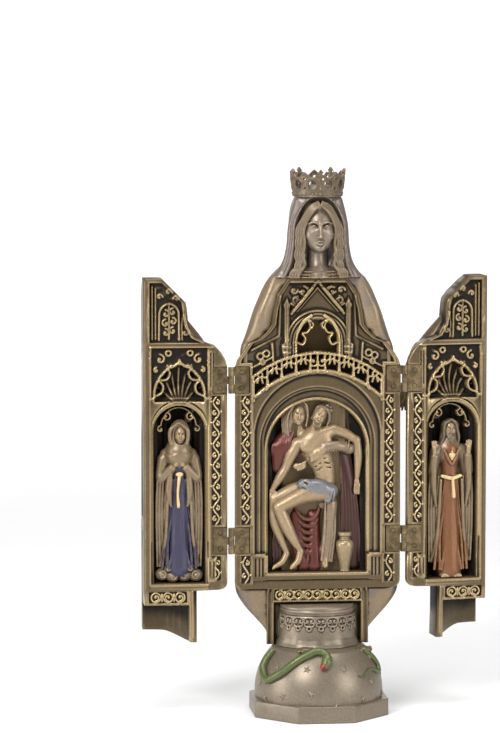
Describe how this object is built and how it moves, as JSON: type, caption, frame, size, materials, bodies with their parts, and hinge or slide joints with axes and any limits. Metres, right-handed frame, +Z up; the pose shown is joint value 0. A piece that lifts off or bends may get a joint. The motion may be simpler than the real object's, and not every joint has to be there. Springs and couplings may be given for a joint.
{
  "type": "opening madonna statue",
  "caption": "Crowned robed figure on a star-set globe whose front opens as two hinged wings over a carved niche with a seated group.",
  "frame": {"origin": "middle of the plinth's underside", "axes": "+Z up the figure, -Y out of its face, +X to the right as seen from the front"},
  "size_m": [0.1844, 0.0726, 0.2903],
  "materials": {
    "antique_bronze": "antique bronze patina with rubbed highlights over cold-cast resin",
    "rubbed_bronze": "smooth rubbed pale bronze over cold-cast resin",
    "painted_bronze": "polished bronze flesh, dark red and pale blue painted drapery",
    "blue_painted_bronze": "bronze with a blue-violet painted dress",
    "copper_painted_bronze": "bronze with a copper-orange painted robe",
    "hinge_brass": "brushed, slightly darkened brass"
  },
  "bodies": {
    "statue": {"globe_base": "rubbed_bronze", "statue_body": "antique_bronze", "crown": "antique_bronze", "pieta_group": "painted_bronze", "left_lower_body_leaf": "hinge_brass", "left_lower_hinge_pin": "hinge_brass", "left_lower_body_screw_low": "hinge_brass", "left_lower_body_screw_high": "hinge_brass", "left_upper_body_leaf": "hinge_brass", "left_upper_hinge_pin": "hinge_brass", "left_upper_body_screw_low": "hinge_brass", "left_upper_body_screw_high": "hinge_brass", "right_lower_body_leaf": "hinge_brass", "right_lower_hinge_pin": "hinge_brass", "right_lower_body_screw_low": "hinge_brass", "right_lower_body_screw_high": "hinge_brass", "right_upper_body_leaf": "hinge_brass", "right_upper_hinge_pin": "hinge_brass", "right_upper_body_screw_low": "hinge_brass", "right_upper_body_screw_high": "hinge_brass"},
    "left_wing": {"left_door": "antique_bronze", "praying_figure": "blue_painted_bronze", "left_lower_door_leaf": "hinge_brass", "left_lower_door_screw_low": "hinge_brass", "left_lower_door_screw_high": "hinge_brass", "left_upper_door_leaf": "hinge_brass", "left_upper_door_screw_low": "hinge_brass", "left_upper_door_screw_high": "hinge_brass"},
    "right_wing": {"right_door": "antique_bronze", "heart_figure": "copper_painted_bronze", "right_lower_door_leaf": "hinge_brass", "right_lower_door_screw_low": "hinge_brass", "right_lower_door_screw_high": "hinge_brass", "right_upper_door_leaf": "hinge_brass", "right_upper_door_screw_low": "hinge_brass", "right_upper_door_screw_high": "hinge_brass"}
  },
  "joints": [
    {"name": "left_hinge", "type": "hinge", "parent": "statue", "child": "left_wing", "pos_m": [-0.0464, 0.004, 0], "axis": [0, 0, 1], "range_deg": [-8, 180]},
    {"name": "right_hinge", "type": "hinge", "parent": "statue", "child": "right_wing", "pos_m": [0.0464, 0.004, 0], "axis": [0, 0, -1], "range_deg": [0, 188]}
  ]
}
